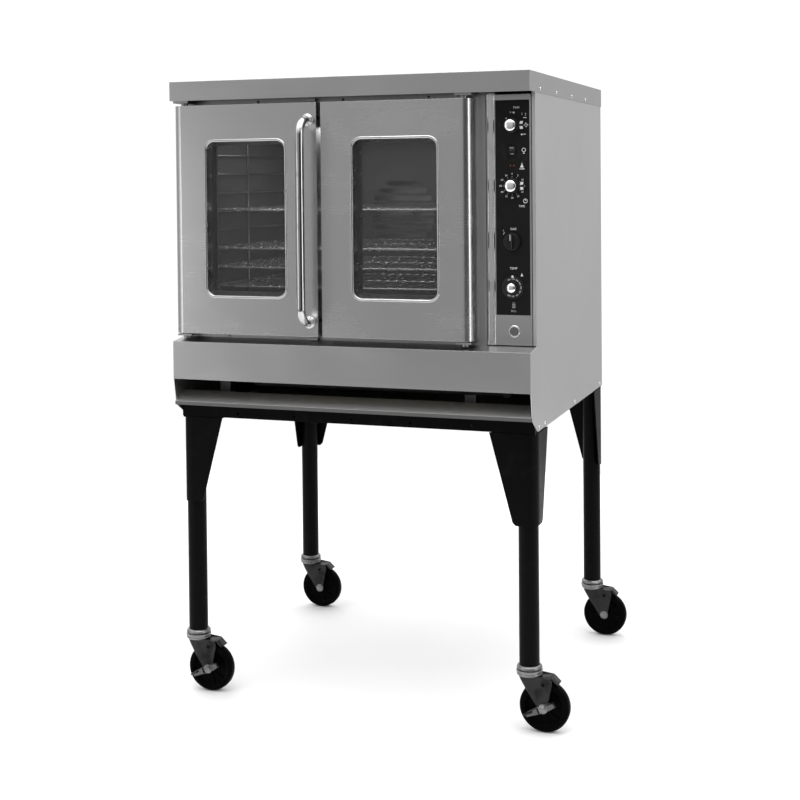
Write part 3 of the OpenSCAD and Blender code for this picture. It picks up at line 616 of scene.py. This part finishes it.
def pointer_knob(name, body, node):
    """Selector knob with a bright disc in its face and a tongue with two pale marks at its right."""
    centre = middle(node)
    part = Part((centre.x, panel_face, centre.z))
    part.lathe([(0, -5), (17.2, -5), (18.0, -4.4), (18.2, -1.2), (17.8, -0.8), (0, -0.8)], (0, 0, 0))
    grip(part, -19.5, -4.5, 16.2)
    part.plate([(10, -7), (29, -9), (31, -7), (31, 7), (29, 9), (10, 7)], -4.6, -1.2)
    part.paint = 1
    part.lathe([(0, -22.6), (4, -22.4), (8, -21.8), (11.5, -20.9), (13.6, -19.9), (14.2, -19), (14.2, -18)],
               (0, 0, 0), steps=56)
    part.paint = 2
    for tilt, z in ((-0.18, 6.2), (0.18, -6.2)):
        lean = tilt * 4
        part.plate([(21.5 + lean, z - 3.6), (29 + lean, z - 3.2), (29 - lean, z + 3.6), (21.5 - lean, z + 3.2)],
                   -4.9, -4.5, 0.1)
    part.done(name, body, "dial_plastic", [dial_plastic, dial_disc, white_ink], node)


def gas_valve_knob():
    """Round black knob with an upright finger bar."""
    centre = middle("gas_knob")
    part = Part((centre.x, panel_face, centre.z))
    part.lathe([(0, -10.5), (17.5, -10.5), (20.4, -9.6), (21.6, -7), (22, -2), (21.6, -0.8), (0, -0.8)],
               (0, 0, 0), steps=56)
    outline = rounded_outline(-4.2, -19.5, 4.2, 19.5, 3.8, 5)
    part.plate(outline, -24.5, -9, 1.6)
    part.paint = 1
    part.plate([(-0.7, 3), (0.7, 3), (0.7, 18), (-0.7, 18)], -24.8, -24.3, 0.05)
    part.done("gas_valve_dial", "gas_valve", "black_plastic", [black_plastic, white_ink], "gas_knob")


def thermostat_dial():
    """Numbered skirt with a short grip and a bright cap."""
    centre = middle("thermostat_knob")
    part = Part((centre.x, panel_face, centre.z))
    part.lathe([(0, -3.2), (24.5, -3.2), (27.4, -2.4), (28, -1.4), (27.6, -0.8), (0, -0.8)],
               (0, 0, 0), steps=72)
    grip(part, -18.5, -3, 14.5, flutes=16)
    part.paint = 1
    part.lathe([(0, -21.6), (4, -21.4), (7.4, -20.6), (9.8, -19.6), (11, -18.4), (11, -17)],
               (0, 0, 0), steps=48)
    part.paint = 2
    marks = 9
    for i in range(marks):
        turn = math.radians(-205 + 230 * i / (marks - 1) + 180)
        part.letters(str(100 + 50 * i), 21 * math.sin(turn), 21 * math.cos(turn), 5.2, -3.3, -turn)
    part.plate([(-3, 24.2), (3, 24.2), (2.2, 30), (-2.2, 30)], -3.4, -2.6, 0.1)
    part.done("thermostat_dial", "thermostat", "dial_plastic", [dial_plastic, dial_disc, white_ink],
              "thermostat_knob")


pointer_knob("fan_selector_dial", "fan_selector", "fan_knob")
pointer_knob("timer_dial", "timer", "timer_knob")
gas_valve_knob()
thermostat_dial()


def panel_printing():
    """Numbers, ticks and small symbols printed on the black overlay."""
    fan, timer, gas, heat = (middle(n) for n in ("fan_knob", "timer_knob", "gas_knob", "thermostat_knob"))
    lamp, rocker = middle("indicator_lamps"), middle("rocker_switch")
    part = Part((fan.x, panel_face - 0.1 * MM, 0))
    film = 0.05                            # half the thickness of the ink

    def z(place, offset=0.0):
        return place.z / MM + offset

    def printed(outline):
        part.plate(outline, -film, film, 0.02)

    def dot(x, height, r):
        printed(arc((x, height), r, 0, 345, 11))

    def dash(x, height, w, h):
        printed([(x - w / 2, height - h / 2), (x + w / 2, height - h / 2),
                 (x + w / 2, height + h / 2), (x - w / 2, height + h / 2)])

    def ring(x, height, r, w):
        outer, inner = arc((x, height), r, 0, 360, 20)[:-1], arc((x, height), r - w, 0, 360, 20)[:-1]
        part.loft([[(a, film, b), (a, -film, b), (c, -film, d), (c, film, d)]
                   for (a, b), (c, d) in zip(outer, inner)], closed=True)

    # timer: minutes in a circle round a circle of dots
    numbers_r, dots_r = 29.5, 22.5
    for i in range(12):
        turn = math.radians(i * 30)
        part.letters(str(i * 5), numbers_r * math.sin(turn), z(timer) + numbers_r * math.cos(turn), 6.4)
        dot(dots_r * math.sin(turn), z(timer) + dots_r * math.cos(turn), 0.7)
    # fan: three speeds
    part.letters("0", -3, z(fan, 31), 6.5)
    dot(5, z(fan, 31), 2.4)
    dot(-14, z(fan, 17), 1.6)
    part.letters("1", 26, z(fan, 27), 8)
    part.letters("2", 35, z(fan, 26), 8)
    dot(25, z(fan, -23), 2.2)
    dash(32, z(fan, -22.5), 7, 1.6)
    dash(33, z(fan, 18), 9, 1.6)
    # a fan symbol of four blades
    for k in range(4):
        turn = math.pi / 2 * k
        printed([(36 + r * math.cos(turn + lean), z(fan) + r * math.sin(turn + lean))
                 for r, lean in ((1, 0), (5.4, 0.5), (5.6, -0.25))])
    part.letters("FAN", 12, z(fan, 43), 8)
    # lamp symbol by the rocker, flame by the two small lamps
    ring(30, z(rocker, 2), 5.2, 1.3)
    dash(30, z(rocker, -6), 4, 2.2)
    printed([(20, z(lamp, -5)), (30, z(lamp, -5)), (26.6, z(lamp, 1)), (25, z(lamp, 8)), (23.4, z(lamp, 1))])
    dash(25, z(lamp, -8.5), 13, 1.8)
    ring(33, z(timer, -37), 5.6, 1.3)
    dash(33, z(timer, -35), 1.2, 4)
    part.letters("TIME", 24, z(timer, -50), 7.5)
    # gas valve
    part.letters("GAS", 2, z(gas, 31), 8)
    dot(-10, z(gas, 17.5), 2.0)
    part.letters("I", -22, z(gas, 20), 9, spin=-0.5)
    part.letters("0", -23, z(gas, 27), 5)
    # thermostat
    part.letters("TEMP", 2, z(heat, 47), 8)
    printed([(20, z(heat, 28)), (26, z(heat, 28)), (23, z(heat, 36))])
    part.paint = 1
    dash(2, z(heat, -38), 7, 1.4)
    for k in range(3):
        dash(2, z(heat, -42 - 3.6 * k), 8, 1.8)
    part.letters("BELL", 2, z(heat, -58), 7)
    part.done("overlay_printing", "oven_body", "black_film", [white_ink, grey_ink])


panel_printing()


def rocker_bars():
    """Pale bars printed on the rocker's two faces."""
    low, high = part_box("rocker_switch")
    part = Part(((low.x + high.x) / 2, low.y, (low.z + high.z) / 2))
    part.block((-4.6, 0.4, 6.6), (4.6, 1.6, 8.2), 0.2)
    part.block((-4.6, 3.4, -8.4), (4.6, 4.4, -6.8), 0.2)
    part.done("rocker_bars", "rocker", "black_plastic", grey_ink)


rocker_bars()


# ---------------------------------------------------------------- casters

WHEEL_R = 63.5


def caster_wheel(corner):
    """Moulded wheel with round shoulders, a dished web, ribs and a bearing hub."""
    roll = joints[f"{corner}_roll"]["pos_m"]
    part = Part(roll)
    r, half = WHEEL_R, 16.0
    profile = [(5.05, -18.9), (9, -18.9), (11.5, -18.2), (12.5, -16), (13.5, -11), (15, -10),
               (40, -8.5), (43, -9.5), (46, -13.5), (49, -15.2), (53, -half),
               (57.5, -half + 0.8), (61, -half + 3.6), (63, -half + 8), (r, 0)]
    profile += [(a, -b) for a, b in profile[-2::-1]]
    part.lathe(profile + profile[:1], (0, 0, 0), steps=96)
    rib_count = 10
    for k in range(rib_count):
        turn = Matrix.Rotation(2 * math.pi * k / rib_count, 4, "Y")
        ribs = Part()
        ribs.block((13, -12.2, -1.6), (45, 12.2, 1.6), 0.8)
        ribs.bm.transform(turn)
        spare = bpy.data.meshes.new("rib")
        ribs.bm.to_mesh(spare)
        ribs.bm.free()
        part.bm.from_mesh(spare)
        bpy.data.meshes.remove(spare)
    part.done(f"{corner}_tyre", f"wheel_{corner}", "wheel_tread", wheel_rubber, f"wheel_{corner}")


def caster_fork(corner, braked):
    """Pressed fork: ball races, a crown that narrows into two legs with curled edges, axle bolt and nuts."""
    swivel = joints[f"{corner}_swivel"]["pos_m"]
    part = Part((swivel[0], swivel[1], 0))
    # lower race and crown
    part.paint = 2
    part.lathe([(7.2, 152.8), (24, 152.8), (30.5, 152.6), (32.6, 151), (33, 148), (32.4, 145.6), (31, 144.6),
                (31, 143.4), (32, 142), (31.4, 139.6), (29.5, 138), (7.2, 138)], (0, 0, 0), "z", 64)
    # legs, bridge and flap take the zinc painted dark as painted shade
    part.paint = 0
    trail, axle_z, leg_y, sheet_t = 39.0, WHEEL_R, 19.7, 3.0
    leg_face, hole_z = leg_y + sheet_t, 121.5
    levels = [(141.5, -30.5, 19, 26), (137.2, -28, 58, 22), (130, -23.5, 60, 17), (120.5, -17, 61, 13),
              (104, -5.5, 57, 9), (88, 5.5, 54, 7), (75.5, 14.5, 51, 5.5), (60, 25, 51, 5), (52, 30.5, 46, 4)]
    for side in (-1, 1):
        outer, inner = [], []
        for z, left, right, curl in levels:
            line_out, line_in = [(right, side * leg_face, z)], [(right, side * leg_y, z)]
            for step in range(9):
                angle = math.radians(90 * step / 8 * 0.85)
                x = left + curl - curl * math.sin(angle)
                sag = curl * (1 - math.cos(angle))
                across, inward = sheet_t * math.sin(angle), sheet_t * math.cos(angle)
                line_out.append((x, side * (leg_face - sag), z))
                line_in.append((x + across, side * (leg_face - sag - inward), z))
            outer.append(line_out)
            inner.append(line_in)
        part.loft([o + i[::-1] for o, i in zip(outer, inner)])
        # pressed hole near the top of the leg, drawn as a flat black disc of painted shade inside a raised rim
        part.paint = 1
        hole = (trail, side * leg_face, hole_z)
        part.lathe([(0, -0.1), (4.4, -0.1), (4.4, 0.1), (0, 0.1)], hole, "y", 24)
        part.paint = 0
        part.lathe([(4.4, -0.2), (5.2, -0.8), (6.4, -0.5), (6.8, 0.2)], hole, "y", 24)
    # bridge over the wheel, and the flap that leans over the tread
    part.block((17, -leg_y - 1, 134.6), (59, leg_y + 1, 137.6), 0.8)
    part.plate([(57, 134.8), (74, 121.4), (77, 123.2), (62, 137.6), (57, 137.6)], -17, 17, 0.8)
    # axle bolt, nuts and washers
    part.paint = 2
    near = -26.5 if braked else -22.5
    axle = (trail, 0, axle_z)
    part.lathe([(0, near - 6), (4.2, near - 6), (5, near - 5.4), (5, 29.4), (4.4, 30), (0, 30)], axle, "y", 24)
    for y0, y1, outside in ((near - 5, near, -1), (22.5, 27.5, 1)):
        tip, seat = (y0, y1) if outside < 0 else (y1, y0)
        washer = seat + outside * 0.9
        part.lathe([(0, tip), (7.6, tip), (9, tip - outside * 1.2), (9, seat), (0, seat)], axle, "y", 6)
        part.lathe([(0, washer), (11.4, washer), (11.4, seat), (0, seat)], axle, "y", 32)
    part.done(f"{corner}_fork", f"caster_{corner}", "zinc_plate", [shaded_zinc_plate, black_enamel, zinc_plate],
              f"fork_{corner}")


def caster_stem_plates():
    """Upper races and the plugs that fill the ends of the leg tubes."""
    part = Part()
    for corner in ("front_left", "front_right", "rear_left", "rear_right"):
        x, y = (v / MM for v in joints[f"{corner}_swivel"]["pos_m"][:2])
        part.lathe([(0, 153.2), (24, 153.2), (30.6, 153.8), (32, 156), (31.4, 159.5), (29, 162.4),
                    (26.6, 163.9), (25, 164), (23, 164.2), (23, 200), (0, 200)], (x, y, 0), "z", 64)
    part.done("caster_upper_races", "oven_body", "zinc_plate", zinc_plate, "caster_stems")


def brake_lever(corner):
    """Rocking brake lever on the near end of the axle bolt: a bar, a cam block and a pad at each end."""
    part = Part(joints[f"{corner}_roll"]["pos_m"])
    lean, front, back = math.radians(24), -26.0, -23.0

    def slanted(points, y, soften):
        part.plate([(x * math.cos(lean) - z * math.sin(lean), x * math.sin(lean) + z * math.cos(lean))
                    for x, z in points], y, back, soften)

    slanted([(-48, -6), (-14, -9), (14, -9), (34, -5), (34, 8), (14, 9), (-14, 9), (-48, 5)], front, 0.5)
    part.lathe([(5.2, front - 0.4), (10.8, front - 0.4), (12, front + 0.4), (12, back), (5.2, back)],
               (0, 0, 0), "y", 40)
    slanted([(-26, -7), (-13, -7.5), (-13, 7.5), (-26, 7)], front - 6, 1.2)
    slanted([(12, 4.8), (34, 4.8), (34, 8), (12, 8)], front - 11, 0.8)
    slanted([(30.8, -4), (34, -4), (34, 8), (30.8, 8)], front - 11, 0.8)
    part.paint = 1
    slanted([(-48.5, 1.6), (-27, 1.6), (-27, 5.4), (-48.5, 5.4)], front - 11.4, 1.0)
    part.done(f"{corner}_brake_lever", f"brake_lever_{corner}", "zinc_plate", [lever_zinc_painted_shade, black_plastic],
              f"brake_{corner}")


for corner in ("front_left", "front_right", "rear_left", "rear_right"):
    braked = corner.startswith("front")
    caster_wheel(corner)
    caster_fork(corner, braked)
    if braked:
        brake_lever(corner)
caster_stem_plates()


# ---------------------------------------------------------------- small fittings

def loose_pieces(node):
    """Boxes of the separate pieces of a CAD node."""
    cad_part = frame["nodes"][node]
    scratch = bmesh.new()
    scratch.from_mesh(cad_part.data)
    bmesh.ops.remove_doubles(scratch, verts=scratch.verts, dist=1e-6)
    waiting, boxes = set(scratch.verts), []
    while waiting:
        frontier = [waiting.pop()]
        reached = frontier[:]
        while frontier:
            for edge in frontier.pop().link_edges:
                for v in edge.verts:
                    if v in waiting:
                        waiting.remove(v)
                        frontier.append(v)
                        reached.append(v)
        spots = [cad_part.matrix_world @ v.co for v in reached]
        boxes.append(tuple(Vector(pick(p[i] for p in spots) for i in range(3)) for pick in (min, max)))
    scratch.free()
    return sorted(boxes, key=lambda corners: tuple(round(v, 4) for v in corners[0]))


def sheet_screws():
    """Pan-head screws with a cross recess drawn as two black bars on the head: painted shade."""
    part = Part()
    for low, high in loose_pieces("panel_screws"):
        size = high - low
        centre = (low + high) / 2 / MM
        head = Part()
        head.lathe([(0, -2.4), (1.6, -2.3), (2.9, -1.8), (3.8, -1.0), (4.1, -0.3), (4.1, 0)],
                   (0, 0, 0), "y", 24)
        # the cross recess: black bars on the dome, painted shade
        head.paint = 1
        head.block((-2.1, -2.5, -0.45), (2.1, -1.9, 0.45), 0)
        head.block((-0.45, -2.5, -2.1), (0.45, -1.9, 2.1), 0)
        if size.x < size.y:
            side = 1 if centre.x > BODY_X / MM else -1
            head.bm.transform(Matrix.Rotation(side * math.pi / 2, 4, "Z"))
            seat = (centre.x - side * size.x / MM / 2, centre.y, centre.z)
        else:
            seat = (centre.x, high.y / MM, centre.z)
        head.bm.transform(Matrix.Translation(seat))
        spare = bpy.data.meshes.new("screw")
        head.bm.to_mesh(spare)
        head.bm.free()
        part.bm.from_mesh(spare)
        bpy.data.meshes.remove(spare)
    part.done("pan_head_screws", "oven_body", "polished_steel", [bright_steel, black_enamel], "panel_screws")


def buzzer():
    """Bright rim round a grey mesh disc, its holes drawn as black dots: painted shade."""
    low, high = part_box("buzzer_grille")
    part = Part(((low.x + high.x) / 2, low.y, (low.z + high.z) / 2))
    part.lathe([(11.0, 1.2), (11.4, 0.1), (12.6, -0.3), (14.0, 0), (14.9, 1.0), (15, 2.5), (12.9, 2.6),
                (12.9, 18.4), (0, 18.4)], (0, 0, 0), "y", 56)
    part.paint = 1
    part.lathe([(0, 0.6), (7, 0.8), (11.2, 1.2)], (0, 0, 0), "y", 56)
    # holes of the mesh: black dots standing in for the dark inside, painted shade
    part.paint = 2
    pitch = 2.7
    for row in range(-4, 5):
        for column in range(-4, 5):
            x, z = (column + row % 2 / 2) * pitch, row * pitch * 0.866
            if math.hypot(x, z) < 9.8:
                part.lathe([(0, 0.35), (0.8, 0.4), (0.8, 1.0), (0, 1.0)], (x, 0, z), "y", 8)
    part.done("buzzer_mesh", "oven_body", "black_plastic", [bright_steel, frame_steel, black_plastic],
              "buzzer_grille")


def louvre_hoods():
    """Pressed hoods over the cooling slots in the back panel."""
    low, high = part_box("back_panel")
    motor = middle("blower_motor")
    part = Part((0, high.y, low.z - 6 * MM))
    first_z, pitch, controls_x = 200, 24, 405
    for x in (motor.x / MM, BODY_X / MM + controls_x):
        for k in range(8):
            z = first_z + pitch * k
            sections = []
            for across, out in ((-48, 0.2), (-44, 5.5), (44, 5.5), (48, 0.2)):
                sections.append([(x + across, -0.4, z + 13), (x + across, out * 0.5, z + 11),
                                 (x + across, out, z + 3), (x + across, out - 1.0, z + 2.4),
                                 (x + across, out * 0.5 - 1.2, z + 10)])
            part.loft(sections)
    part.done("louvre_hoods", "oven_body", "galvanised", galvanised_sheet)


def pipe_thread():
    """Taper thread on the open end of the gas pipe."""
    inlet = next(m for m in frame["record"]["mounts"] if m["name"] == "gas_inlet")["pos_m"]
    profile, pitch, taper = [], 1.8, 0.02
    for k in range(12):
        y, crest = -8 + k * pitch, 14.0 - k * taper
        profile += [(13.3, y), (crest, y + 0.7), (crest, y + 1.0)]
    part = Part(inlet)
    part.lathe(profile + [(13.3, 13.6)], (0, 0, 0), "y", 48)
    part.done("gas_pipe_thread", "oven_body", "gas_pipe", iron_pipe)


sheet_screws()
buzzer()
louvre_hoods()
pipe_thread()


# ---------------------------------------------------------------- floor, light and backdrop

def studio():
    """Pale floor, soft lights and a bright room."""
    s = Shader("pale_floor")
    floor_finish = s.finish(Base_Color=s.mix(s.noise(1.5, detail=2.0), 0.84, 0.88), Roughness=0.6)
    mesh = bpy.data.meshes.new("floor")
    size = 2.6
    corners = [(-size, -size, 0), (size, -size, 0), (size, size, 0), (-size, size, 0)]
    mesh.from_pydata(corners, [], [(0, 1, 2, 3)])
    mesh.materials.append(floor_finish)
    floor = bpy.data.objects.new("floor", mesh)
    bpy.context.collection.objects.link(floor)

    w = Shader("studio_air", world=True)
    direction = w.node("ShaderNodeTexCoord", out="Generated")
    x, y, z = (w.node("ShaderNodeSeparateXYZ", None, {"Vector": direction}, out=axis) for axis in "XYZ")
    behind = y.span(-0.3, 0.7)
    left = (x * -1).span(0.50, 0.66) * (1 - (x * -1).span(0.80, 0.93) * 0.9)
    dark_right = (x - 0.05).span(0.0, 0.3) * (y * -1).span(0.1, 0.5)
    above = z.span(0.15, 0.8)
    below = (z * -1).span(0.02, 0.35)
    sides = 0.41 + behind * (0.20 + z * 0.12) + left * 0.55
    light = sides * (1 - dark_right * 0.85) * (1 - below * 0.4) + above * 1.25
    seen = w.node("ShaderNodeLightPath", out="Is Camera Ray")
    strength = light * (1 - seen) + seen * 1.05
    back = w.node("ShaderNodeBackground", None, {"Color": (1, 1, 1, 1), "Strength": strength})
    w.node("ShaderNodeOutputWorld", None, {"Surface": back})
    bpy.context.scene.world = w.owner

    def softbox(name, place, target, width, height, power):
        lamp = bpy.data.lights.new(name, "AREA")
        lamp.shape, lamp.size, lamp.size_y, lamp.energy = "RECTANGLE", width, height, power
        made = bpy.data.objects.new(name, lamp)
        made.location = place
        if target:
            made.rotation_euler = (Vector(target) - Vector(place)).to_track_quat("-Z", "Y").to_euler()
        bpy.context.collection.objects.link(made)

    softbox("overhead_softbox", (0.3, -0.8, 3.6), (0, 0, 0.6), 3.2, 2.4, 55)
    softbox("left_softbox", (-2.35, -2.85, 0.95), (-0.47, -0.4, 0.95), 0.45, 1.25, 3.6)
    softbox("right_softbox", (2.9, -0.9, 1.4), (0.2, 0, 0.9), 0.6, 2.4, 14)
    # light of the oven's own lamps, straight down from the cavity's ceiling
    cavity = middle("cavity_liner")
    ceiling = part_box("cavity_liner")[1].z
    softbox("oven_lamp_light", (cavity.x, cavity.y - 0.1, ceiling - 0.02), None, 0.6, 0.4, 2.6)
    bpy.context.scene.view_settings.view_transform = "Standard"


studio()
